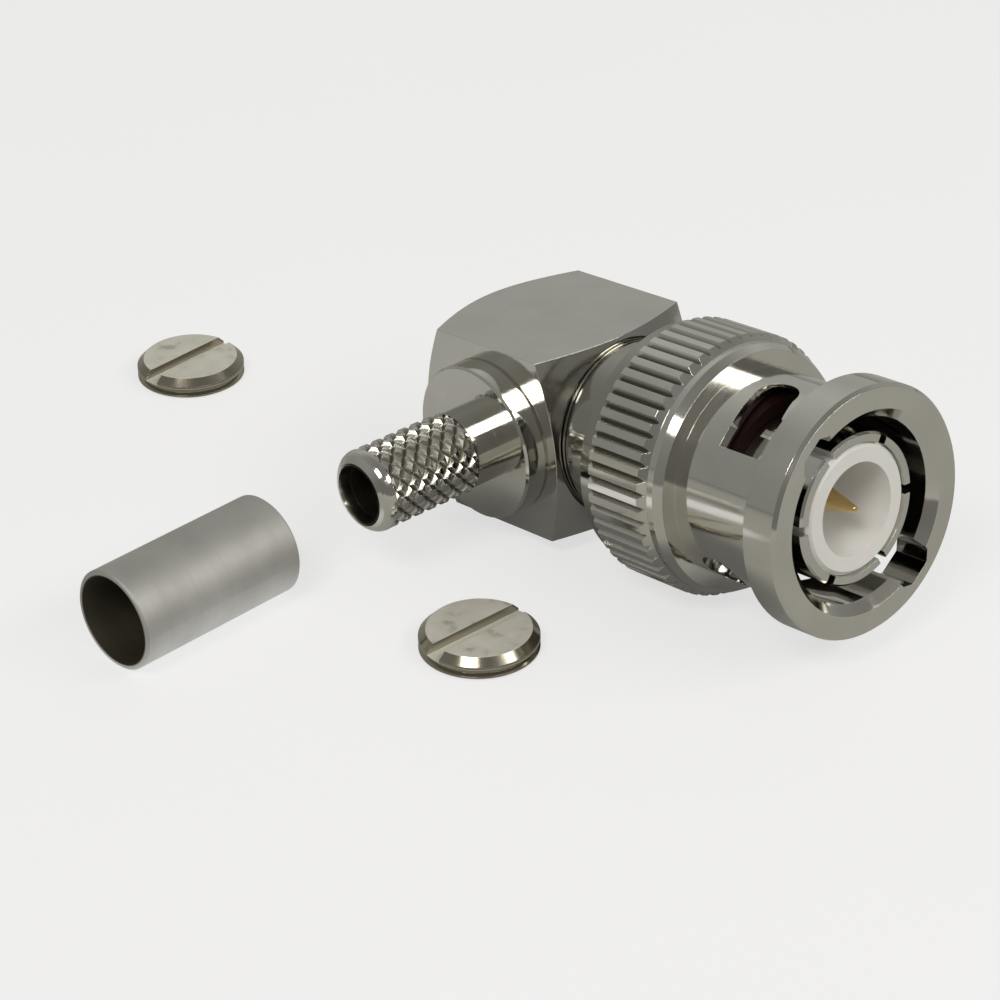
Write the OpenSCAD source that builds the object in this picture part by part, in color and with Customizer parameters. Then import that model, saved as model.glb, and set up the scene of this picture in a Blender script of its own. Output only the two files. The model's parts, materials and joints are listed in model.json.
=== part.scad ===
// Right-angle bayonet coaxial plug for crimped cable, shown as a kit laid out for
// assembly. The plug rests on its elbow and its coupling nut, and the crimp ferrule
// and the two access caps lie beside it. The plug is drawn along +X, with its cable
// stem along -Y and the origin where the two axes cross, and is then leaned to rest.

/* [Elbow body] */
// Width and height of the square elbow block
block_w = 10.5; // [9.5:0.1:12]
// Plug axis crossing to the flat front face of the block
block_front = 5.2; // [5:0.1:5.6]
// Plug axis crossing to the flat rear face of the block
block_rear = 5.8; // [5.4:0.1:7]
// Slope of the turned bevel on the rear corners, in degrees
rear_bevel = 35; // [25:1:45]
// Slope of the turned bevel on the front corners, in degrees
front_bevel = 24; // [20:1:45]
// Radius of the flat rear face inside its bevel
rear_flat_r = 4.7; // [4.5:0.1:5]
// Radius of the flat front face inside its bevel
front_flat_r = 5.05; // [5:0.05:5.4]
// Radius of the soldering chamber in the middle of the block
chamber_r = 2.6; // [2:0.1:2.8]

/* [Access caps] */
// Diameter of each threaded access cap
cap_d = 6.4; // [6:0.1:7]
// Thickness of an access cap
cap_t = 1.2; // [1.1:0.1:2]
// Width of the bevel round the face of a cap
cap_bevel = 0.4; // [0.2:0.05:0.6]
// Width of the screwdriver slot
cap_slot_w = 0.95; // [0.6:0.05:1.2]
// Depth of the screwdriver slot
cap_slot_depth = 0.55; // [0.3:0.05:0.7]
// Depth of the thread grooves round a cap
cap_thread_depth = 0.2; // [0.1:0.02:0.3]

/* [Front barrel] */
// Radius of the collar between the block and the coupling nut
collar_r = 4.95; // [4.5:0.05:5.1]
// Rear edge of the collar, where the groove at its foot ends
collar_rear = 5.78; // [5.6:0.02:6]
// Radius of the groove's floor
foot_r = 4.72; // [4.6:0.02:4.8]
// Plug axis crossing to the fine bead that runs round in the groove
bead_x = 5.35; // [5.3:0.01:5.6]
// Radius over the bead
bead_r = 4.86; // [4.8:0.01:4.9]
// Radius of the spigot that is pressed into the block
spigot_r = 4.3; // [4:0.05:4.5]
// Length of the spigot inside the block
spigot_len = 1.8; // [1.4:0.1:1.8]
// Radius of the flange that the spring washers push on
flange_r = 5.85; // [5.6:0.05:6]
// Front face of the barrel flange
flange_front = 13.2; // [12.6:0.05:13.4]
// Thickness of the barrel flange
flange_t = 0.9; // [0.6:0.1:1.2]
// Front end of the barrel, where the gasket is seated
barrel_front = 15.9; // [15.4:0.1:16.2]

/* [Mating face] */
// Front face of the contact fingers and of the insulator
mate_face = 22.1; // [21.5:0.1:22.6]
// Outside radius of the contact fingers
contact_r = 4.08; // [4:0.01:4.15]
// Wall of the contact fingers
contact_wall = 0.52; // [0.4:0.02:0.7]
// Number of contact fingers
finger_count = 6; // [4:1:8]
// Width of the slots between contact fingers
finger_slot = 0.5; // [0.3:0.05:0.8]
// Radius of the hollow in the front insulator
cup_r = 2.52; // [2.3:0.02:2.7]
// Floor of the hollow in the front insulator
cup_floor = 16.6; // [16:0.1:18]
// Diameter of the centre pin
pin_d = 1.35; // [1.3:0.01:1.4]
// Length of the pin's tapered point
pin_point_len = 2.2; // [1.2:0.1:2.6]
// Radius of the round end of the point
pin_end_r = 0.17; // [0.1:0.01:0.3]
// Diameter of the thick rear part of the centre pin
pin_root_d = 2.1; // [1.8:0.1:2.4]

/* [Coupling nut] */
// Rear face of the coupling nut
nut_rear = 8.75; // [8.4:0.05:9]
// Radius of the plain lip at the rear of the nut
nut_lip_r = 6.75; // [6.6:0.05:6.8]
// Length of the plain lip
nut_lip_len = 0.85; // [0.5:0.05:1.2]
// Radius over the knurled grip
grip_r = 7.15; // [7:0.05:7.6]
// Front end of the full-size grip
grip_front = 13.41; // [13.3:0.01:13.6]
// Depth of the knurl grooves
grip_groove = 0.32; // [0.2:0.02:0.36]
// Number of straight knurl grooves
grip_count = 56; // [40:1:64]
// Radius of the plain land in front of the grip
land_r = 6.78; // [6.6:0.02:6.9]
// Front shoulder face of the grip section
shoulder_x = 14.7; // [14.6:0.05:15]
// Radius of the neck that holds the bayonet tracks
neck_r = 5.65; // [5.6:0.05:5.8]
// Rear face of the front ring
ring_rear = 20.7; // [20.5:0.1:21]
// Front face of the coupling nut
nut_front = 22.81; // [22.6:0.01:23]
// Radius of the front ring
ring_r = 6.77; // [6.6:0.01:7]
// Radius of the bore that passes over the mating socket
nut_bore_r = 4.94; // [4.9:0.01:5]
// Slide of the nut against its spring washers
nut_travel = 0.8; // [0.5:0.1:0.9]

/* [Bayonet tracks] */
// Number of bayonet tracks
track_count = 2; // [2:1:2]
// Angle of the middle of the first entry notch, in degrees
notch_angle = 36.8; // [35:0.2:40]
// Width of an entry notch
notch_w = 2.4; // [2.3:0.05:2.7]
// Radius of the floor of an entry notch
notch_r = 6.05; // [5.9:0.05:6.1]
// Turn from the entry notch to the lock hole, in degrees
track_turn = 88; // [85:1:92]
// Rear edge of the open window at its entry notch
window_rear = 16.9; // [16.7:0.05:17.1]
// Rise of the window's rear edge for each degree
window_rear_slope = 0.0115; // [0.008:0.0005:0.014]
// Front edge of the cam slope at its entry notch
cam_front = 19.86; // [19.6:0.02:20.1]
// Rise of the cam slope for each degree
cam_slope = 0.031; // [0.028:0.001:0.034]
// Turn from the entry notch to the round end of the open window, in degrees
window_turn = 26; // [22:1:34]
// Radius of the track floor where the neck covers it
track_r = 5.5; // [5.4:0.01:5.52]
// Radius of the lock hole at the end of a track
lock_hole_r = 1.3; // [1.15:0.05:1.35]
// Place of the lock hole along the plug
lock_hole_x = 16.65; // [16.6:0.05:16.8]

/* [Spring washers and gasket] */
// Thickness of each wave washer
wave_t = 0.16; // [0.1:0.02:0.2]
// Number of waves in each washer
wave_count = 3; // [2:1:5]
// Thickness of the flat thrust washer
thrust_t = 0.45; // [0.3:0.05:0.6]
// Thickness of the retaining ring
retainer_t = 0.5; // [0.4:0.05:0.6]
// Rear end to front end of the gasket
gasket_len = 1.3; // [1.2:0.05:2]
// Outside radius of the gasket
gasket_r = 4.78; // [4.6:0.01:4.8]

/* [Crimp stem] */
// Radius of the stem flange
stem_flange_r = 4.38; // [4.1:0.02:4.8]
// Thickness of the stem flange
stem_flange_t = 1.4; // [1:0.1:2]
// Radius of the plain stem tube
stem_r = 2.2; // [2.15:0.01:2.24]
// Plug axis to the near end of the diamond knurl
knurl_near = 8.26; // [7.6:0.02:9]
// Length of the diamond knurl
knurl_len = 5.74; // [4:0.1:7]
// Radius over the diamonds
knurl_r = 2.3; // [2.28:0.01:2.4]
// Depth of the diamond knurl
knurl_depth = 0.19; // [0.15:0.01:0.3]
// Number of diamonds round the stem
knurl_starts = 14; // [10:1:18]
// Number of half rows of diamonds along the stem
knurl_rows = 13; // [9:1:17]
// Length of the rounded tip beyond the knurl
stem_tip_len = 0.73; // [0.4:0.01:1]
// Radius of the stem's tip
stem_tip_r = 1.78; // [1.75:0.01:1.85]
// Radius of the bore that takes the cable's insulation
stem_bore_r = 1.52; // [1.4:0.01:1.6]
// Radius of the bore's flared mouth
mouth_r = 1.66; // [1.6:0.01:1.7]
// Depth of the flare
mouth_len = 0.75; // [0.3:0.05:1.2]

/* [Crimp ferrule] */
// Outside diameter of the crimp ferrule
ferrule_d = 5.6; // [5.5:0.1:6.5]
// Bore of the crimp ferrule
ferrule_bore = 5; // [4.9:0.02:5.1]
// Length of the crimp ferrule
ferrule_len = 10.5; // [8:0.5:13]

/* [Layout of the loose pieces] */
// Place of the ferrule's near end behind the cable axis
ferrule_x = -3.6; // [-5:0.1:-3]
// Gap along the floor between the stem's tip and the ferrule
ferrule_gap = 3.6; // [2:0.1:8]
// Turn of the ferrule on the floor, in degrees
ferrule_turn = 4; // [0:0.1:10]
// Place of the far cap in front of the plug's axis crossing
cap_a_x = -25.8; // [-30:0.1:-20]
// Place of the far cap to the side of the plug's axis crossing
cap_a_y = -6.9; // [-9:0.1:-4]
// Turn of the far cap's slot, in degrees
cap_a_turn = 96; // [0:1:180]
// Place of the near cap in front of the plug's axis crossing
cap_b_x = 8.5; // [6:0.1:12]
// Place of the near cap to the side of the plug's axis crossing
cap_b_y = -13.8; // [-16:0.1:-12]
// Turn of the near cap's slot, in degrees
cap_b_turn = 90; // [0:1:180]

/* [Hidden] */

nickel = "#b5b3ab";
satin_nickel = "#a3a29c";
gold = "#d9b45a";
ptfe = "#f1f1ee";
silicone = "#7a1518";
spring_steel = "#8c8c8a";

// Press fits are drawn with a hair of clearance, and turning fits with a running one.
press_gap = 0.01;
free_gap = 0.02;
running_gap = 0.05;
loose_gap = 0.1;
// A cutter reaches this far past the face that it opens.
over = 1;

block_h = block_w / 2;
corner_r = block_h * sqrt(2);
// Where the rear bevel meets the bottom edge of the block, measured from the axis.
rear_edge_x = block_rear - (block_h - rear_flat_r) * tan(rear_bevel);
grip_step = 0.15;
grip_rear = nut_rear + nut_lip_len + grip_step;

// The plug rests on the block's rear bottom edge and on the rear rim of the grip.
lean = atan((grip_r - block_h) / (grip_rear + rear_edge_x));
rest_z = rear_edge_x * sin(lean) + block_h * cos(lean);

stem_tip_y = knurl_near + knurl_len + stem_tip_len;
ferrule_y = stem_tip_y + ferrule_gap;
ferrule_r = ferrule_d / 2;
cap_r = cap_d / 2;

// The whole kit's box on the floor, so that the origin is under its middle.
ring_edge = 0.21;
ring_edge_drop = 0.17;
ring_face_r = ring_r - ring_edge_drop;
kit_low_x = cap_a_x - cap_r;
kit_high_x = nut_front * cos(lean) + ring_face_r * sin(lean);
kit_low_y = -ferrule_y - ferrule_len * cos(ferrule_turn) - ferrule_r * sin(ferrule_turn);
kit_high_y = grip_r;
kit_middle = [(kit_low_x + kit_high_x) / 2, (kit_low_y + kit_high_y) / 2, 0];

// Elbow: access ports, and the sockets for the barrel and the stem.
port_r = cap_r + running_gap;
port_sink = 0.3;
port_depth = cap_t + port_sink;
side_way_r = 2.4;
spigot_rear = block_front - spigot_len;
stem_spigot_r = 2.4;
stem_spigot_len = 2.3;

// Barrel, contact, insulators and pin, from the block to the mating face.
contact_bore_r = contact_r - contact_wall;
contact_rear = 9.4;
insulator_r = contact_bore_r - free_gap;
insulator_rear = 7.2;
rear_insulator_rear = 2.9;
rear_bore_r = 2.6;
pin_r = pin_d / 2;
pin_root_r = pin_root_d / 2;
pin_bore_r = pin_root_r + free_gap;
pin_step = 12.6;
pin_rear = 1.3;
solder_slot_w = 0.9;
solder_slot_len = 2.2;
pilot_r = nut_bore_r - running_gap;
gasket_bore_r = contact_r + free_gap;
gasket_rear = barrel_front + free_gap;
finger_root = 0.3;
finger_rear = gasket_rear + gasket_len + finger_root;
finger_turn = 26;

// Spring chamber of the nut, from the barrel's flange back to the retaining ring.
chamber_bore_r = flange_r + loose_gap;
nut_stop = flange_front + free_gap;
flange_rear = flange_front - flange_t;
wave_gap = 0.03;
// Two washers give way by the nut's travel, and keep a little of their waves.
wave_left = 0.04;
wave_h = nut_travel / 2 + wave_t + wave_left;
washer_bore_r = collar_r + loose_gap;
washer_r = chamber_bore_r - loose_gap;
front_wave_x = flange_rear - wave_gap - wave_h;
rear_wave_x = front_wave_x - wave_gap - wave_h;
thrust_x = rear_wave_x - wave_gap - thrust_t;
retainer_x = thrust_x - free_gap - retainer_t;
retainer_groove = 0.25;
retainer_groove_r = chamber_bore_r + retainer_groove;

// Draws a turned piece: the outline's points are [place along +X, radius].
module turned(outline) {
  rotate([0, 90, 0]) rotate_extrude($fn = 96) polygon([for (p = outline) [p[1], p[0]]]);
}

// A plain or hollow cylinder along +X between two places.
module rod(x0, x1, r) {
  translate([x0, 0, 0]) rotate([0, 90, 0]) cylinder(h = x1 - x0, r = r, $fn = 96);
}

// The same along -Y, for the stem and its bores.
module stem_rod(y0, y1, r) {
  rotate([90, 0, 0]) translate([0, 0, y0]) cylinder(h = y1 - y0, r = r, $fn = 96);
}

// Sets the plug down on the floor, with the kit's middle over the origin.
module at_rest() {
  translate([0, 0, rest_z] - kit_middle) rotate([0, -lean, 0]) children();
}

// A point on the plug: place along the axis, radius, and angle from the top towards -Y.
function polar_point(x, r, a) = [x, -r * sin(a), r * cos(a)];

module elbow_body() {
  blank_r = corner_r + over;
  rear_x = block_rear - (blank_r - rear_flat_r) * tan(rear_bevel);
  front_x = block_front - (blank_r - front_flat_r) * tan(front_bevel);
  color(nickel) at_rest() difference() {
    intersection() {
      translate([-block_rear - over, -block_h, -block_h])
        cube([block_rear + block_front + 2 * over, block_w, block_w]);
      turned([
        [-block_rear, 0], [-block_rear, rear_flat_r], [-rear_x, blank_r],
        [front_x, blank_r], [block_front, front_flat_r], [block_front, 0]
      ]);
    }
    // Chamber and front socket for the barrel.
    rod(-block_rear - over, block_front + over, chamber_r);
    rod(spigot_rear - free_gap, block_front + over, spigot_r + press_gap);
    // Rear access port and side access port, each with a ledge for its cap.
    rod(-block_rear - over, -block_rear + port_depth, port_r);
    stem_rod(-block_h - over, -block_h + port_depth, port_r);
    stem_rod(-block_h - over, 0, side_way_r);
    // Socket for the stem's spigot, then the way through for the inner conductor.
    stem_rod(block_h - stem_spigot_len - free_gap, block_h + over, stem_spigot_r + press_gap);
    stem_rod(0, block_h + over, stem_bore_r);
  }
}

module front_barrel() {
  bead_w = 0.1;
  bead_slope = 0.04;
  color(nickel) at_rest() difference() {
    turned([
      [spigot_rear, 0], [spigot_rear, spigot_r], [block_front, spigot_r],
      [block_front, foot_r], [bead_x - bead_w / 2 - bead_slope, foot_r],
      [bead_x - bead_w / 2, bead_r], [bead_x + bead_w / 2, bead_r],
      [bead_x + bead_w / 2 + bead_slope, foot_r], [collar_rear, foot_r],
      [collar_rear, collar_r], [flange_rear, collar_r], [flange_rear, flange_r],
      [flange_front, flange_r], [flange_front, pilot_r],
      [barrel_front, pilot_r], [barrel_front, 0]
    ]);
    rod(contact_rear - free_gap, barrel_front + over, contact_r + press_gap);
    rod(insulator_rear - free_gap, barrel_front, insulator_r + press_gap);
    rod(spigot_rear - over, barrel_front, rear_bore_r);
  }
}

module outer_contact() {
  tip = 0.12;
  color(nickel) at_rest() difference() {
    turned([
      [contact_rear, contact_bore_r], [contact_rear, contact_r], [mate_face - tip, contact_r],
      [mate_face, contact_r - tip], [mate_face, contact_bore_r]
    ]);
    for (i = [0:finger_count - 1])
      rotate([finger_turn + i * 360 / finger_count, 0, 0])
        translate([finger_rear, -finger_slot / 2, 0])
          cube([mate_face - finger_rear + over, finger_slot, contact_r + over]);
  }
}

module front_insulator() {
  edge = 0.25;
  color(ptfe) at_rest() difference() {
    turned([
      [insulator_rear, 0], [insulator_rear, insulator_r], [mate_face - edge, insulator_r],
      [mate_face, insulator_r - edge], [mate_face, 0]
    ]);
    rod(cup_floor, mate_face + over, cup_r);
    rod(insulator_rear - over, cup_floor + over, pin_r + free_gap);
    rod(insulator_rear - over, pin_step + free_gap, pin_bore_r);
  }
}

module rear_insulator() {
  color(ptfe) at_rest() difference() {
    rod(rear_insulator_rear, insulator_rear - 2 * free_gap, rear_bore_r - press_gap);
    rod(rear_insulator_rear - over, insulator_rear + over, pin_bore_r);
  }
}

module centre_pin() {
  // The point tapers to a small round end.
  steps = 5;
  end = [for (i = [0:steps]) let (a = i * 90 / steps)
    [mate_face - pin_end_r * (1 - sin(a)), i == steps ? 0 : pin_end_r * cos(a)]];
  color(gold) at_rest() difference() {
    turned(concat(
      [[-pin_rear, 0], [-pin_rear, pin_root_r], [pin_step, pin_root_r], [pin_step, pin_r],
       [mate_face - pin_point_len, pin_r]], end));
    // Slot and cup that take the cable's conductor.
    translate([-pin_rear - over, -pin_root_d, -solder_slot_w / 2])
      cube([solder_slot_len + over, 2 * pin_root_d, solder_slot_w]);
  }
}

module gasket() {
  color(silicone) at_rest() turned([
    [gasket_rear, gasket_bore_r], [gasket_rear, gasket_r], [gasket_rear + gasket_len, gasket_r],
    [gasket_rear + gasket_len, gasket_bore_r]
  ]);
}

// One wave washer: a flat spring whose waves run round the ring.
module wave_washer(x0, phase) {
  steps = 16 * wave_count;
  lift = wave_h - wave_t;
  function wave_x(a) = x0 + lift * (1 + sin(wave_count * a + phase)) / 2;
  corners = [for (i = [0:steps - 1]) let (a = i * 360 / steps)
    for (c = [[0, washer_bore_r], [0, washer_r], [wave_t, washer_r], [wave_t, washer_bore_r]])
      polar_point(wave_x(a) + c[0], c[1], a)];
  faces = [for (i = [0:steps - 1]) for (k = [0:3])
    let (n = (i + 1) % steps, m = (k + 1) % 4)
      for (f = [[4 * i + k, 4 * n + m, 4 * n + k], [4 * i + k, 4 * i + m, 4 * n + m]]) f];
  color(spring_steel) at_rest() polyhedron(corners, faces);
}

module wave_washer_front() { wave_washer(front_wave_x, 0); }

module wave_washer_rear() { wave_washer(rear_wave_x, 180); }

module thrust_washer() {
  color(spring_steel) at_rest() difference() {
    rod(thrust_x, thrust_x + thrust_t, washer_r);
    rod(thrust_x - over, thrust_x + thrust_t + over, washer_bore_r);
  }
}

// A snap ring with a gap, held in its groove inside the nut.
module retaining_ring() {
  gap_w = 1.2;
  color(spring_steel) at_rest() difference() {
    rod(retainer_x, retainer_x + retainer_t, retainer_groove_r - free_gap);
    rod(retainer_x - over, retainer_x + retainer_t + over, collar_r + 2 * loose_gap);
    translate([retainer_x - over, -gap_w / 2, -retainer_groove_r - over])
      cube([retainer_t + 2 * over, gap_w, retainer_groove_r + over]);
  }
}

// Section over the grip: a disc with V grooves cut all round it.
module grip_section() {
  pitch = 360 / grip_count;
  groove_turn = 5.2;
  // The V keeps its slope up to the blank, which is a little wider than the grip.
  blank = 0.1;
  half_w = 0.62 * (grip_groove + blank);
  half_angle = asin(half_w / (grip_r + blank));
  polygon([for (i = [0:grip_count - 1]) let (a = i * pitch + groove_turn)
    for (p = [[grip_r + blank, -half_angle], [grip_r - grip_groove, 0],
              [grip_r + blank, half_angle]])
      [-p[0] * sin(a + p[1]), p[0] * cos(a + p[1])]]);
}

// One bayonet track: entry notch, open window with a round end, cam slope and lock hole.
module bayonet_track() {
  bevel = 0.5;
  wall = neck_r + over / 2;
  lock_angle = notch_angle - track_turn;
  round_angle = notch_angle - window_turn;
  round_r = (cam_at(round_angle) - rear_at(round_angle)) / 2;
  rotate([notch_angle, 0, 0]) translate([window_rear, 0, 0]) rotate([90, 0, 90])
    linear_extrude(nut_front - window_rear + over) polygon([
      [-notch_w / 2, 0], [-notch_w / 2, notch_r - bevel], [-notch_w / 2 + bevel, notch_r],
      [notch_w / 2 - bevel, notch_r], [notch_w / 2, notch_r - bevel], [notch_w / 2, 0]
    ]);
  rotate([round_angle, 0, 0]) translate([rear_at(round_angle) + round_r, 0, 0])
    cylinder(h = wall + over, r = round_r, $fn = 48);
  rotate([lock_angle, 0, 0]) translate([lock_hole_x, 0, 0])
    cylinder(h = wall + over, r = lock_hole_r, $fn = 48);
  // The neck covers the track from the lock hole to the window's round end.
  track_start = lock_angle + 2;
  cover_end = round_angle - 1;
  window_start = round_angle + 1;
  track_end = notch_angle - 2;
  covered = ceil((cover_end - track_start) / 4);
  open = ceil((track_end - window_start) / 4);
  track_cutter(concat(
    [for (i = [0:covered]) [track_start + (cover_end - track_start) * i / covered, track_r]],
    [for (i = [0:open]) [window_start + (track_end - window_start) * i / open, wall]]));
}

// Rear edge and cam edge of a track at an angle.
function rear_at(a) = window_rear - (notch_angle - a) * window_rear_slope;
function cam_at(a) = cam_front - (notch_angle - a) * cam_slope;

// A curved cutter through a list of [angle, outer radius] stations.
module track_cutter(stations) {
  inner_r = nut_bore_r - over / 2;
  last = 4 * (len(stations) - 1);
  corners = [for (s = stations)
    for (c = [[rear_at(s[0]), inner_r], [rear_at(s[0]), s[1]],
              [cam_at(s[0]), s[1]], [cam_at(s[0]), inner_r]])
      polar_point(c[0], c[1], s[0])];
  faces = concat(
    [[2, 1, 0], [3, 2, 0], [last, last + 1, last + 2], [last, last + 2, last + 3]],
    [for (i = [0:4:last - 4]) for (k = [0:3]) let (m = (k + 1) % 4)
      for (f = [[i + m, i + 4 + m, i + 4 + k], [i + k, i + m, i + 4 + k]]) f]);
  polyhedron(corners, faces);
}

module coupling_nut() {
  inner_chamfer = 0.52;
  land_x = grip_front + grip_r - land_r;
  shoulder_bevel_len = 0.5;
  shoulder_bevel = 0.25;
  color(nickel) at_rest() difference() {
    intersection() {
      turned([
        [nut_rear, 0], [nut_rear, nut_lip_r], [nut_rear + nut_lip_len, nut_lip_r],
        [grip_rear, grip_r], [grip_front, grip_r], [land_x, land_r],
        [shoulder_x - shoulder_bevel_len, land_r], [shoulder_x, land_r - shoulder_bevel],
        [shoulder_x, neck_r],
        [ring_rear, neck_r], [ring_rear, ring_r], [nut_front - ring_edge, ring_r],
        [nut_front, ring_face_r], [nut_front, 0]
      ]);
      rotate([90, 0, 90]) linear_extrude(nut_front + over) grip_section();
    }
    turned([
      [nut_rear - over, 0], [nut_rear - over, chamber_bore_r], [nut_stop, chamber_bore_r],
      [nut_stop, nut_bore_r], [nut_front - inner_chamfer, nut_bore_r],
      [nut_front + over, nut_bore_r + inner_chamfer + over], [nut_front + over, 0]
    ]);
    turned([
      [retainer_x - free_gap, 0], [retainer_x - free_gap, retainer_groove_r],
      [retainer_x + retainer_t + free_gap / 2, retainer_groove_r],
      [retainer_x + retainer_t + free_gap / 2, 0]
    ]);
    for (i = [0:track_count - 1])
      rotate([i * 360 / track_count, 0, 0]) bayonet_track();
  }
}

// Diamond knurl: truncated pyramids in rows that are offset by half a diamond.
module diamond_knurl() {
  n = knurl_starts;
  row_len = knurl_len / knurl_rows;
  // One row more than is needed, so that both ends can be cut square.
  rows = knurl_rows + 1;
  turn = 360 / n;
  land = 0.24;
  root = knurl_r - knurl_depth;
  function at(i, row, r) =
    [r * cos(i * turn), r * sin(i * turn), row * row_len];
  function shift(j) = j % 2 == 0 ? 0 : 0.5;
  valleys = [for (j = [0:rows]) for (i = [0:n - 1]) at(i + shift(j), j, root)];
  // Each diamond has a left, a right, a lower and an upper corner on its flat top.
  tops = [for (j = [0:rows]) for (i = [0:n - 1]) let (c = i + 0.5 + shift(j))
    for (p = [[-land, 0], [land, 0], [0, j == 0 ? 0 : -2 * land], [0, j == rows ? 0 : 2 * land]])
      at(c + p[0], j + p[1], knurl_r)];
  first_top = len(valleys);
  function valley(i, j) = j * n + (i + n) % n;
  function top(i, j, k) = first_top + 4 * (j * n + i) + k;
  // The column of the valley that lies under or over the middle of diamond i in row j.
  function middle(i, j) = j % 2 == 0 ? i : i + 1;
  upper = [for (j = [0:rows - 1]) for (i = [0:n - 1])
    let (l = valley(i, j), r = valley(i + 1, j), u = valley(middle(i, j), j + 1))
      for (f = [[l, top(i, j, 3), top(i, j, 0)], [l, u, top(i, j, 3)],
                [u, top(i, j, 1), top(i, j, 3)], [u, r, top(i, j, 1)]]) f];
  lower = [for (j = [1:rows]) for (i = [0:n - 1])
    let (l = valley(i, j), r = valley(i + 1, j), d = valley(middle(i, j), j - 1))
      for (f = [[l, top(i, j, 2), d], [l, top(i, j, 0), top(i, j, 2)],
                [d, top(i, j, 1), r], [d, top(i, j, 2), top(i, j, 1)]]) f];
  lands = [for (j = [0:rows]) for (i = [0:n - 1])
    for (f = concat(j == rows ? [] : [[top(i, j, 0), top(i, j, 3), top(i, j, 1)]],
                    j == 0 ? [] : [[top(i, j, 0), top(i, j, 1), top(i, j, 2)]])) f];
  ends = [
    [for (i = [0:n - 1]) for (v = [valley(i, 0), top(i, 0, 0), top(i, 0, 1)]) v],
    [for (i = [n - 1:-1:0]) for (v = [top(i, rows, 1), top(i, rows, 0), valley(i, rows)]) v]
  ];
  intersection() {
    translate([0, 0, -row_len / 2])
      polyhedron(concat(valleys, tops), concat(upper, lower, lands, ends));
    cylinder(h = knurl_len, r = knurl_r + over, $fn = 48);
  }
}

module crimp_stem() {
  y_flange = block_h + stem_flange_t;
  y_tip = knurl_near + knurl_len;
  edge = 0.12;
  // The core under the knurl is a little deeper than its valleys, and shows at the near
  // end as a fine relief groove.
  core_r = knurl_r - knurl_depth - 0.05;
  relief_w = 0.1;
  flare = (mouth_r - stem_bore_r) / mouth_len;
  // The tip starts just inside the knurl's end, over its diamonds, and curves inwards.
  lap = 0.05;
  tip_r = knurl_r + press_gap;
  steps = 5;
  tip = [for (i = [0:steps]) let (f = i / steps)
    [tip_r - (tip_r - stem_tip_r) * f * f, y_tip + stem_tip_len * f]];
  color(nickel) at_rest() difference() {
    union() {
      stem_rod(block_h - stem_spigot_len, block_h + stem_flange_t / 2, stem_spigot_r);
      rotate([90, 0, 0]) rotate_extrude($fn = 96) polygon([
        [0, block_h], [stem_flange_r - edge, block_h], [stem_flange_r, block_h + edge],
        [stem_flange_r, y_flange - edge], [stem_flange_r - edge, y_flange],
        [stem_r, y_flange], [stem_r, knurl_near - relief_w], [core_r, knurl_near - relief_w],
        [core_r, y_tip - lap], [tip_r, y_tip - lap], each tip, [0, stem_tip_y]
      ]);
      rotate([90, 0, 0]) translate([0, 0, knurl_near]) diamond_knurl();
    }
    rotate([90, 0, 0]) rotate_extrude($fn = 96) polygon([
      [0, 0], [stem_bore_r, 0], [stem_bore_r, stem_tip_y - mouth_len],
      [mouth_r + flare * over, stem_tip_y + over], [0, stem_tip_y + over]
    ]);
  }
}

module crimp_ferrule() {
  edge = 0.1;
  color(satin_nickel)
    translate([ferrule_x, -ferrule_y, ferrule_r] - kit_middle)
      rotate([90, 0, ferrule_turn]) difference() {
        rotate_extrude($fn = 96) polygon([
          [0, 0], [ferrule_r - edge, 0], [ferrule_r, edge], [ferrule_r, ferrule_len - edge],
          [ferrule_r - edge, ferrule_len], [0, ferrule_len]
        ]);
        translate([0, 0, -over])
          cylinder(h = ferrule_len + 2 * over, d = ferrule_bore, $fn = 96);
      }
}

// A threaded plug with a slot across its face and two thread ridges round its edge.
module access_cap(x, y, turn) {
  core = cap_r - cap_thread_depth;
  pitch = 0.45;
  crest = 0.1;
  flank = 0.12;
  color(satin_nickel) translate([x, y, 0] - kit_middle) rotate([0, 0, turn]) difference() {
    rotate_extrude($fn = 96) polygon([
      [0, 0], [core, 0], [cap_r, flank], [cap_r, flank + crest], [core, 2 * flank + crest],
      [core, pitch], [cap_r, pitch + flank], [cap_r, cap_t - cap_bevel],
      [cap_r - cap_bevel, cap_t], [0, cap_t]
    ]);
    translate([-cap_r - over, -cap_slot_w / 2, cap_t - cap_slot_depth])
      cube([2 * (cap_r + over), cap_slot_w, cap_slot_depth + over]);
  }
}

module access_cap_rear() { access_cap(cap_a_x, cap_a_y, cap_a_turn); }

module access_cap_side() { access_cap(cap_b_x, cap_b_y, cap_b_turn); }

elbow_body();
front_barrel();
outer_contact();
front_insulator();
rear_insulator();
centre_pin();
crimp_stem();
gasket();
wave_washer_front();
wave_washer_rear();
thrust_washer();
retaining_ring();
coupling_nut();
crimp_ferrule();
access_cap_rear();
access_cap_side();
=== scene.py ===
"""Looks for the right-angle bayonet coaxial plug, its crimp ferrule and its two access caps."""

import json
import math

import bpy
from mathutils import Matrix, Vector

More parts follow.
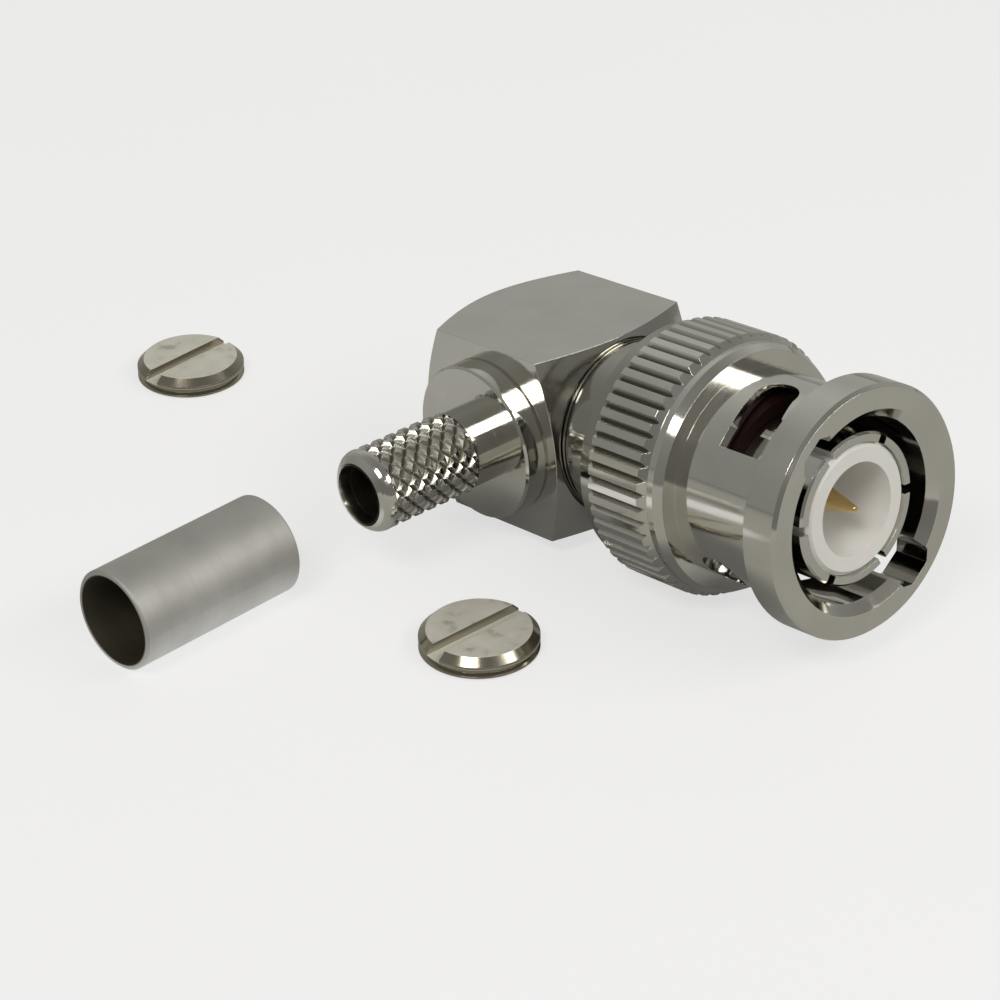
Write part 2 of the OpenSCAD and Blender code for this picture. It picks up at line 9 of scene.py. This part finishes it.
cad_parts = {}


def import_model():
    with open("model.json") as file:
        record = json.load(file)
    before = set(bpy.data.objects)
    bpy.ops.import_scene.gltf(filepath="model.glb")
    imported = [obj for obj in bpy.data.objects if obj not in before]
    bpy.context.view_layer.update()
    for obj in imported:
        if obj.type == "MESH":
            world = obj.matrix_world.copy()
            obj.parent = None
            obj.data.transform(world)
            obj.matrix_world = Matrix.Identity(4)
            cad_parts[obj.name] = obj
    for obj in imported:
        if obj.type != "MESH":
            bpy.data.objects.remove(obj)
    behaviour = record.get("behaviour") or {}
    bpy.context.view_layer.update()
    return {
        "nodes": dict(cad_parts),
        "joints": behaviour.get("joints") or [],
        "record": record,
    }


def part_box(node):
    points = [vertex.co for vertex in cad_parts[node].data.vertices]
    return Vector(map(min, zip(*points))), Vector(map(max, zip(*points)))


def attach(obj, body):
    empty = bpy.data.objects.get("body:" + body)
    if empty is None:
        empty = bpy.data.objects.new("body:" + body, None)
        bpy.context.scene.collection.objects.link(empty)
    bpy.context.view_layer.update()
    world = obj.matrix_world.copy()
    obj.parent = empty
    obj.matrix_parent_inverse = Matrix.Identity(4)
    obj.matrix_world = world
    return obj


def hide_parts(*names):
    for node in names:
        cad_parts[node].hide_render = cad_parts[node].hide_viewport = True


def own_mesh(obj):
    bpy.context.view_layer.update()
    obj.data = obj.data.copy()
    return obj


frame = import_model()

MM = 0.001

joints = {j["name"]: j for j in frame["joints"]}
PLUG_AXIS = Vector(joints["coupling_turn"]["axis"]).normalized()
LEAN = math.atan2(PLUG_AXIS.z, PLUG_AXIS.x)
STEM_AXIS = Vector((0, -1, 0))
FERRULE_AXIS = Vector((0.0698, -0.9976, 0))

# Sizes and places on the solids, in millimetres. Places are measured from ORIGIN, along the
# plug's axis or along the stem's.
FERRULE_BORE_R = 2.5
CAP_SLOT_DEPTH = 0.55
# Front end of the painted shade behind it on the collar and the nut's rear lip, on the step from
# the nut's rear lip to its grip.
REAR_SHADE_END = 9.67
# Middle and half length of a band of grooves, then the radius up to which their painted shade is
# darkest and the radius where the painted shade ends.
GRIP_GROOVES = (11.55, 1.95, 6.86, 7.10)
KNURL_GROOVES = (11.13, 2.90, 2.12, 2.27)

# Share of the white background that metal mirrors; the rest is the grey studio.
METAL_SEES_WHITE = 0.12

# Studio greys from the horizon to straight above, for each side of the surroundings.
OVERHEAD = (1.0, (0.14, 0.135, 0.12))
BACK_LEFT = [
    (0.0, (0.34, 0.34, 0.315)), (0.3, (0.35, 0.35, 0.32)), (0.55, (0.46, 0.46, 0.425)),
    (0.72, (0.36, 0.36, 0.33)), OVERHEAD,
]
FRONT_LEFT = [
    (0.0, (0.20, 0.20, 0.18)), (0.3, (0.20, 0.20, 0.18)), (0.6, (0.24, 0.24, 0.22)),
    (0.8, (0.18, 0.175, 0.155)), OVERHEAD,
]
RIGHT = [
    (0.0, (0.09, 0.085, 0.07)), (0.35, (0.09, 0.085, 0.07)), (0.55, (0.12, 0.115, 0.10)),
    (0.8, (0.14, 0.135, 0.12)), OVERHEAD,
]


def plug_origin():
    """Where the plug's axis crosses the stem's axis, in the frame."""
    low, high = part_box("crimp_stem")
    pivot = Vector(joints["coupling_turn"]["pos_m"])
    middle_x = (low[0] + high[0]) / 2
    along = (middle_x - pivot.x) / PLUG_AXIS.x
    return pivot + PLUG_AXIS * along


def ferrule_middle():
    """The middle of the ferrule's box, in the frame."""
    low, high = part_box("crimp_ferrule")
    return (Vector(low) + Vector(high)) / 2


ORIGIN = plug_origin()
FERRULE_MIDDLE = ferrule_middle()


def node(tree, kind, props=None, **inputs):
    """Adds a shader node with its properties; an input that is a socket is linked, others are set.

    An input is named by its label, with _ for a space, or by its number after a _.
    """
    made = tree.nodes.new(kind)
    for key, value in (props or {}).items():
        setattr(made, key, value)
    for key, value in inputs.items():
        label = int(key[1:]) if key[0] == "_" else key.replace("_", " ")
        if isinstance(value, bpy.types.NodeSocket):
            tree.links.new(value, made.inputs[label])
        else:
            made.inputs[label].default_value = value
    return made


def calc(tree, operation, *values):
    """The result of a calculation on numbers or sockets."""
    inputs = {f"_{place}": value for place, value in enumerate(values)}
    return node(tree, "ShaderNodeMath", {"operation": operation}, **inputs).outputs[0]


def vector_calc(tree, operation, *vectors):
    """A calculation on vectors, as its node, since its result is a vector or a number."""
    inputs = {f"_{place}": value for place, value in enumerate(vectors)}
    return node(tree, "ShaderNodeVectorMath", {"operation": operation}, **inputs)


def blend(tree, share, first, second, kind="MIX"):
    """The first colour, turned into the second one or multiplied by it as the share grows."""
    made = node(tree, "ShaderNodeMixRGB", {"blend_type": kind},
                Fac=share, Color1=first, Color2=second)
    return made.outputs[0]


def remap(tree, value, zero_at, full_at, full=1.0, kind="LINEAR"):
    """A share that is 0 at one value and full at another."""
    made = node(tree, "ShaderNodeMapRange", {"interpolation_type": kind},
                Value=value, From_Min=zero_at, From_Max=full_at, To_Max=full)
    return made.outputs[0]


def split_xyz(tree, vector):
    return node(tree, "ShaderNodeSeparateXYZ", Vector=vector).outputs


def ramp(tree, source, stops):
    """A colour ramp with (position, colour) stops; a single number stands for a grey."""
    made = node(tree, "ShaderNodeValToRGB", Fac=source)
    elements = made.color_ramp.elements
    while len(elements) < len(stops):
        elements.new(0.5)
    for element, (place, colour) in zip(elements, stops):
        rgb = (colour, colour, colour) if isinstance(colour, float) else colour
        element.position = place
        element.color = (*rgb, 1)
    return made.outputs["Color"]


def object_coords(tree):
    return node(tree, "ShaderNodeTexCoord").outputs["Object"]


def object_point(tree, scale=(1, 1, 1)):
    made = node(tree, "ShaderNodeMapping", Vector=object_coords(tree), Scale=scale)
    return made.outputs["Vector"]


def turned_point(tree, origin, axis):
    """Coordinates along an axis and out from it, so that noise runs round it like lathe marks."""
    away = vector_calc(tree, "SUBTRACT", object_coords(tree), tuple(origin)).outputs["Vector"]
    along = vector_calc(tree, "DOT_PRODUCT", away, tuple(axis)).outputs["Value"]
    across = vector_calc(tree, "CROSS_PRODUCT", away, tuple(axis)).outputs["Vector"]
    out = vector_calc(tree, "LENGTH", across).outputs["Value"]
    return node(tree, "ShaderNodeCombineXYZ", X=along, Y=out).outputs["Vector"]


def noise(tree, point, scale, detail=3.0):
    made = node(tree, "ShaderNodeTexNoise", Vector=point, Scale=scale, Detail=detail)
    return made.outputs["Fac"]


def material(name, **inputs):
    """A new material, its tree and its principled shader with the given values."""
    mat = bpy.data.materials.new(name)
    mat.use_nodes = True
    shader = mat.node_tree.nodes["Principled BSDF"]
    for key, value in inputs.items():
        shader.inputs[key.replace("_", " ")].default_value = value
    return mat, mat.node_tree, shader


def clouded(name, scale, first, second, **inputs):
    """A plain material whose colour wanders between two."""
    mat, tree, shader = material(name, **inputs)
    cloud = noise(tree, object_point(tree), scale)
    tint = ramp(tree, cloud, [(0.3, first), (0.7, second)])
    tree.links.new(tint, shader.inputs["Base Color"])
    return mat


def finish_metal(tree, shader, grain, cloud, edge):
    """Grain and cloudiness as relief, over edges that are rounded by a hair."""
    grain_depth = 0.000001
    cloud_depth = 0.000004
    rounded = node(tree, "ShaderNodeBevel", {"samples": 6}, Radius=edge).outputs["Normal"]
    soft = node(tree, "ShaderNodeBump", Height=cloud, Strength=1.0,
                Distance=cloud_depth, Normal=rounded).outputs["Normal"]
    fine = node(tree, "ShaderNodeBump", Height=grain, Strength=1.0,
                Distance=grain_depth, Normal=soft).outputs["Normal"]
    tree.links.new(fine, shader.inputs["Normal"])


def shaded_dull_grooves(tree, around, tint, rough, middle, half, dark_r, clear_r):
    """Tint with painted shade and roughness turned dull down in the grooves of a band round the
    axis.
    """
    place = split_xyz(tree, around)
    within = calc(tree, "COMPARE", place["X"], middle * MM, half * MM)
    deep = remap(tree, place["Y"], zero_at=clear_r * MM, full_at=dark_r * MM)
    both = calc(tree, "MULTIPLY", within, deep)
    # Painted shade: the tint turns dark down in the grooves, where shade falls.
    dark = blend(tree, both, tint, (0.29, 0.275, 0.23, 1))
    dull = blend(tree, both, rough, (0.32, 0.32, 0.32, 1))
    return dark, dull


def painted_rear_shade(tree, around, tint, end):
    """The tint with painted shade behind a place along the axis, on the collar and the nut's rear
    lip in the nook by the block.
    """
    behind = calc(tree, "LESS_THAN", split_xyz(tree, around)["X"], end * MM)
    # Painted shade: behind that place the tint is multiplied by about 0.6, for the shade in the
    # nook between the block and the nut.
    return blend(tree, behind, tint, (0.60, 0.595, 0.58, 1), kind="MULTIPLY")


def nickel(name, edge, axis=None, grooves=None, rear_shade_end=None):
    """Bright nickel plate, which keeps the marks of the lathe where it has an axis, with painted
    shade in grooves and behind a place along the axis where these are given.
    """
    mat, tree, shader = material(name, Metallic=1.0)
    point = object_point(tree)
    cloud = noise(tree, point, 330.0)
    tint = ramp(tree, cloud, [(0.3, (0.63, 0.62, 0.575)), (0.7, (0.69, 0.68, 0.635))])
    rough = ramp(tree, noise(tree, point, 1100.0), [(0.3, 0.07), (0.75, 0.13)])
    if axis is None:
        grain = noise(tree, object_point(tree, (1, 0.15, 1)), 5200.0, detail=2.0)
    else:
        around = turned_point(tree, ORIGIN, axis)
        grain = noise(tree, around, 9000.0, detail=2.0)
        if grooves:
            tint, rough = shaded_dull_grooves(tree, around, tint, rough, *grooves)
        if rear_shade_end:
            tint = painted_rear_shade(tree, around, tint, rear_shade_end)
    tree.links.new(tint, shader.inputs["Base Color"])
    tree.links.new(rough, shader.inputs["Roughness"])
    finish_metal(tree, shader, grain, cloud, edge)
    return mat


def satin_caps():
    """The caps' faces painted pale with a mottle and the slot floors painted pale, as lit plate
    (painted light), and the plate elsewhere painted dark (painted shade).
    """
    mat, tree, shader = material("satin_mottled_painted_light")
    face_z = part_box("access_cap_rear")[1][2]
    slot_z = face_z - CAP_SLOT_DEPTH * MM
    reach = 0.01 * MM
    point = object_point(tree)
    height = split_xyz(tree, point)["Z"]
    on_face = calc(tree, "COMPARE", height, face_z, reach)
    in_slot = calc(tree, "COMPARE", height, slot_z, reach)
    cloud = noise(tree, point, 900.0, detail=5.0)
    # Painted light: the faces painted pale as lit plate, with a mottle.
    mottled = ramp(tree, cloud, [
        (0.32, (0.52, 0.505, 0.44)), (0.42, (0.74, 0.725, 0.66)), (0.65, (0.82, 0.805, 0.74)),
    ])
    # Painted shade off the face, as dark plate, and painted light on the slot floors, pale as lit.
    plain = blend(tree, in_slot, (0.36, 0.335, 0.27, 1), (0.8, 0.79, 0.74, 1))
    tint = blend(tree, on_face, plain, mottled)
    tree.links.new(tint, shader.inputs["Base Color"])
    satin = calc(tree, "MAXIMUM", on_face, in_slot)
    metal = ramp(tree, satin, [(0.0, 1.0), (1.0, 0.4)])
    tree.links.new(metal, shader.inputs["Metallic"])
    rough = ramp(tree, satin, [(0.0, 0.16), (1.0, 0.5)])
    tree.links.new(rough, shader.inputs["Roughness"])
    finish_metal(tree, shader, noise(tree, point, 2600.0), cloud, edge=0.00002)
    return mat


def satin_ferrule():
    """Satin nickel with a drawn grain outside, over a dull brown bore."""
    mat, tree, shader = material("satin_drawn", Metallic=1.0)
    bore_r = FERRULE_BORE_R * MM
    brown_r, satin_r = bore_r + 0.00002, bore_r + 0.00008
    cloud = noise(tree, object_point(tree), 420.0, detail=4.0)
    tint = ramp(tree, cloud, [(0.3, (0.50, 0.50, 0.478)), (0.7, (0.57, 0.57, 0.548))])
    around = turned_point(tree, FERRULE_MIDDLE, FERRULE_AXIS)
    inside = remap(tree, split_xyz(tree, around)["Y"], zero_at=satin_r, full_at=brown_r)
    both = blend(tree, inside, tint, (0.15, 0.135, 0.10, 1))
    tree.links.new(both, shader.inputs["Base Color"])
    grain = noise(tree, around, 6000.0)
    rough = ramp(tree, grain, [(0.3, 0.58), (0.7, 0.68)])
    tree.links.new(rough, shader.inputs["Roughness"])
    finish_metal(tree, shader, grain, cloud, edge=0.00005)
    return mat


turned_nickel = nickel("nickel_turned", edge=0.00003, axis=PLUG_AXIS, rear_shade_end=REAR_SHADE_END)
SLOT_MATERIALS = {
    "nickel": nickel("nickel_block", edge=0.00005),
    "satin_nickel": satin_caps(),
    "gold": clouded("gold_plate", 500.0, (0.72, 0.52, 0.22), (0.82, 0.62, 0.30),
                    Metallic=1.0, Roughness=0.2),
    "ptfe": clouded("white_fluoropolymer", 300.0, (0.87, 0.87, 0.865), (0.91, 0.91, 0.91),
                    Roughness=0.45, Subsurface_Weight=0.12, Subsurface_Scale=0.0004),
    "silicone": clouded("dark_red_silicone", 400.0,
                        (0.008, 0.0007, 0.0012), (0.014, 0.0010, 0.0019),
                        Roughness=0.6, Specular_IOR_Level=0.15),
    "spring_steel": clouded("spring_steel", 600.0, (0.30, 0.30, 0.29), (0.40, 0.40, 0.39),
                            Metallic=1.0, Roughness=0.32),
}
NODE_MATERIALS = {
    "front_barrel": turned_nickel,
    "outer_contact": turned_nickel,
    "coupling_nut": nickel("nickel_grip", edge=0.00003, axis=PLUG_AXIS,
                           grooves=GRIP_GROOVES, rear_shade_end=REAR_SHADE_END),
    "crimp_stem": nickel("nickel_stem", edge=0.00001, axis=STEM_AXIS, grooves=KNURL_GROOVES),
    "crimp_ferrule": satin_ferrule(),
}


def dress_cad_nodes():
    """Gives every node of the frame its own material, or else the material of its slot."""
    slots = {s["node"]: s["material_slot"] for s in frame["record"]["subparts"]}
    for name, obj in frame["nodes"].items():
        for place in obj.material_slots:
            place.material = NODE_MATERIALS.get(name, SLOT_MATERIALS[slots[name]])


def springs():
    """The two wave washers once more, as copies of their own on the plug's body in place of the
    frame's.
    """
    for name in ("wave_washer_front", "wave_washer_rear"):
        piece = bpy.data.objects.new(f"{name}_spring", frame["nodes"][name].data.copy())
        bpy.context.scene.collection.objects.link(piece)
        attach(piece, "plug")
        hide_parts(name)
        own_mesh(piece)


def sees_white(tree):
    """The share of the white background that a ray sees.

    All of it from the camera or through glass, and a little of it mirrored in metal.
    """
    path = node(tree, "ShaderNodeLightPath").outputs
    clear = calc(tree, "MAXIMUM", path["Is Camera Ray"], path["Is Transmission Ray"])
    gloss = calc(tree, "MULTIPLY", path["Is Glossy Ray"], METAL_SEES_WHITE)
    return calc(tree, "MAXIMUM", clear, gloss)


def floor_patch(tree, middle, full_r, end_r, share=1.0, stretch=1.0):
    """A soft round patch on the floor, where light or shadow is painted, which may be longer along
    X; radii in millimetres.
    """
    point = object_point(tree, (1 / stretch, 1, 1))
    away = vector_calc(tree, "DISTANCE", point, (middle[0] / stretch, middle[1], 0))
    return remap(tree, away.outputs["Value"], zero_at=end_r * MM, full_at=full_r * MM,
                 full=share, kind="SMOOTHSTEP")


def floor():
    """Reflections and bounced light see a grey table with painted light under the ferrule, a faint
    painted light left of the block and a painted shadow under the plug.
    """
    half = 1.5
    corners = [(-half, -half, 0), (half, -half, 0), (half, half, 0), (-half, half, 0)]
    mesh = bpy.data.meshes.new("floor")
    mesh.from_pydata(corners, [], [(0, 1, 2, 3)])
    obj = bpy.data.objects.new("floor", mesh)
    bpy.context.scene.collection.objects.link(obj)
    mat, tree, shader = material("pale_floor", Roughness=0.7)
    speck = noise(tree, object_point(tree), 40.0)
    tree.links.new(ramp(tree, speck, [(0.3, 0.90), (0.7, 0.92)]), shader.inputs["Base Color"])
    glow = node(tree, "ShaderNodeEmission", Color=(0.97, 0.97, 0.97, 1)).outputs[0]
    white = node(tree, "ShaderNodeMixShader", Fac=0.7, _1=shader.outputs[0], _2=glow).outputs[0]
    # Painted shadow: the grey that reflections and bounced light see turns dark under the plug.
    painted_shadow_under_plug = floor_patch(tree, (0.010, 0.005), full_r=4, end_r=8, stretch=2.2)
    grey = blend(tree, painted_shadow_under_plug, (0.50, 0.505, 0.48, 1), (0.16, 0.16, 0.15, 1))
    table = node(tree, "ShaderNodeBsdfDiffuse", Color=grey).outputs[0]
    # Painted light: for all but camera rays the floor turns fully white under the ferrule and
    # faintly white left of the block.
    painted_light_under_ferrule = floor_patch(tree, FERRULE_MIDDLE, full_r=6, end_r=10)
    painted_light_left_of_block = floor_patch(tree, (-0.012, -0.005), full_r=7, end_r=12, share=0.27)
    share = sees_white(tree)
    for lit_patch in (painted_light_under_ferrule, painted_light_left_of_block):
        share = calc(tree, "MAXIMUM", share, lit_patch)
    surface = node(tree, "ShaderNodeMixShader", Fac=share, _1=table, _2=white).outputs[0]
    tree.links.new(surface, tree.nodes["Material Output"].inputs["Surface"])
    mesh.materials.append(mat)


def world():
    """Studio surroundings, with the white background for the rays that sees_white() names.

    The studio is bright behind on the left, darker in front on the left, and dark on the right.
    """
    surroundings = bpy.data.worlds.new("studio")
    bpy.context.scene.world = surroundings
    surroundings.use_nodes = True
    tree = surroundings.node_tree
    towards = split_xyz(tree, node(tree, "ShaderNodeTexCoord").outputs["Generated"])
    back = ramp(tree, towards["Z"], BACK_LEFT)
    front = ramp(tree, towards["Z"], FRONT_LEFT)
    depth = remap(tree, towards["Y"], zero_at=-0.35, full_at=0.25, kind="SMOOTHSTEP")
    left = blend(tree, depth, front, back)
    right = ramp(tree, towards["Z"], RIGHT)
    side = remap(tree, towards["X"], zero_at=-0.3, full_at=0.45, kind="SMOOTHSTEP")
    studio = tree.nodes["Background"]
    tree.links.new(blend(tree, side, left, right), studio.inputs["Color"])
    white = node(tree, "ShaderNodeBackground", Color=(0.95, 0.95, 0.95, 1)).outputs[0]
    surface = node(tree, "ShaderNodeMixShader",
                   Fac=sees_white(tree), _1=studio.outputs[0], _2=white).outputs[0]
    tree.links.new(surface, tree.nodes["World Output"].inputs["Surface"])


def softbox(name, azimuth, elevation, width, height, radiance, colour):
    distance = 0.5
    turn, rise = math.radians(azimuth), math.radians(elevation)
    flat = math.cos(rise)
    place = Vector((math.cos(turn) * flat, math.sin(turn) * flat, math.sin(rise))) * distance
    light = bpy.data.lights.new(name, "AREA")
    light.shape = "RECTANGLE"
    light.size = width
    light.size_y = height
    light.energy = radiance * math.pi * width * height
    light.color = colour
    obj = bpy.data.objects.new(name, light)
    obj.location = place
    obj.rotation_mode = "QUATERNION"
    obj.rotation_quaternion = (-place).to_track_quat("-Z", "Y")
    bpy.context.scene.collection.objects.link(obj)


def lights():
    """The key hangs above the camera and to its left, a weaker strip in front of the nose."""
    softbox("key", azimuth=297.0, elevation=49.0, width=0.20, height=0.12,
            radiance=11.0, colour=(1.0, 0.965, 0.89))
    softbox("strip", azimuth=17.0, elevation=40.0, width=0.50, height=0.13,
            radiance=5.0, colour=(1.0, 0.97, 0.92))


def camera():
    """The photograph's camera, found from the plug's own rings and edges."""
    data = bpy.data.cameras.new("camera")
    data.sensor_width = 36.0
    data.sensor_fit = "HORIZONTAL"
    image_side = 1000
    focal_px = 3177.13
    data.lens = focal_px * data.sensor_width / image_side
    data.clip_start = 0.01
    data.clip_end = 20.0
    obj = bpy.data.objects.new("camera", data)
    # Rows of the turn from the plug's own axes to the camera's right, down and forward.
    right = Vector((0.6559122, 0.74869193, -0.09612276))
    down = Vector((0.26621317, -0.34860145, -0.89866989))
    forward = Vector((-0.70633543, 0.5638594, -0.4279636))
    # The plug's origin as the camera sees it, in millimetres.
    seen = Vector((3.5442, -5.4005, 176.126))
    turn = Matrix((right, down, forward))
    place = -(turn.transposed() @ seen)
    lean = Matrix.Rotation(-LEAN, 3, "Y")
    axes = Matrix((lean @ right, -(lean @ down), -(lean @ forward))).transposed()
    obj.rotation_mode = "QUATERNION"
    obj.rotation_quaternion = axes.to_quaternion()
    obj.location = lean @ place * MM + ORIGIN
    bpy.context.scene.collection.objects.link(obj)
    bpy.context.scene.camera = obj


dress_cad_nodes()
springs()
floor()
world()
lights()
camera()

bpy.context.scene.view_settings.view_transform = "Standard"
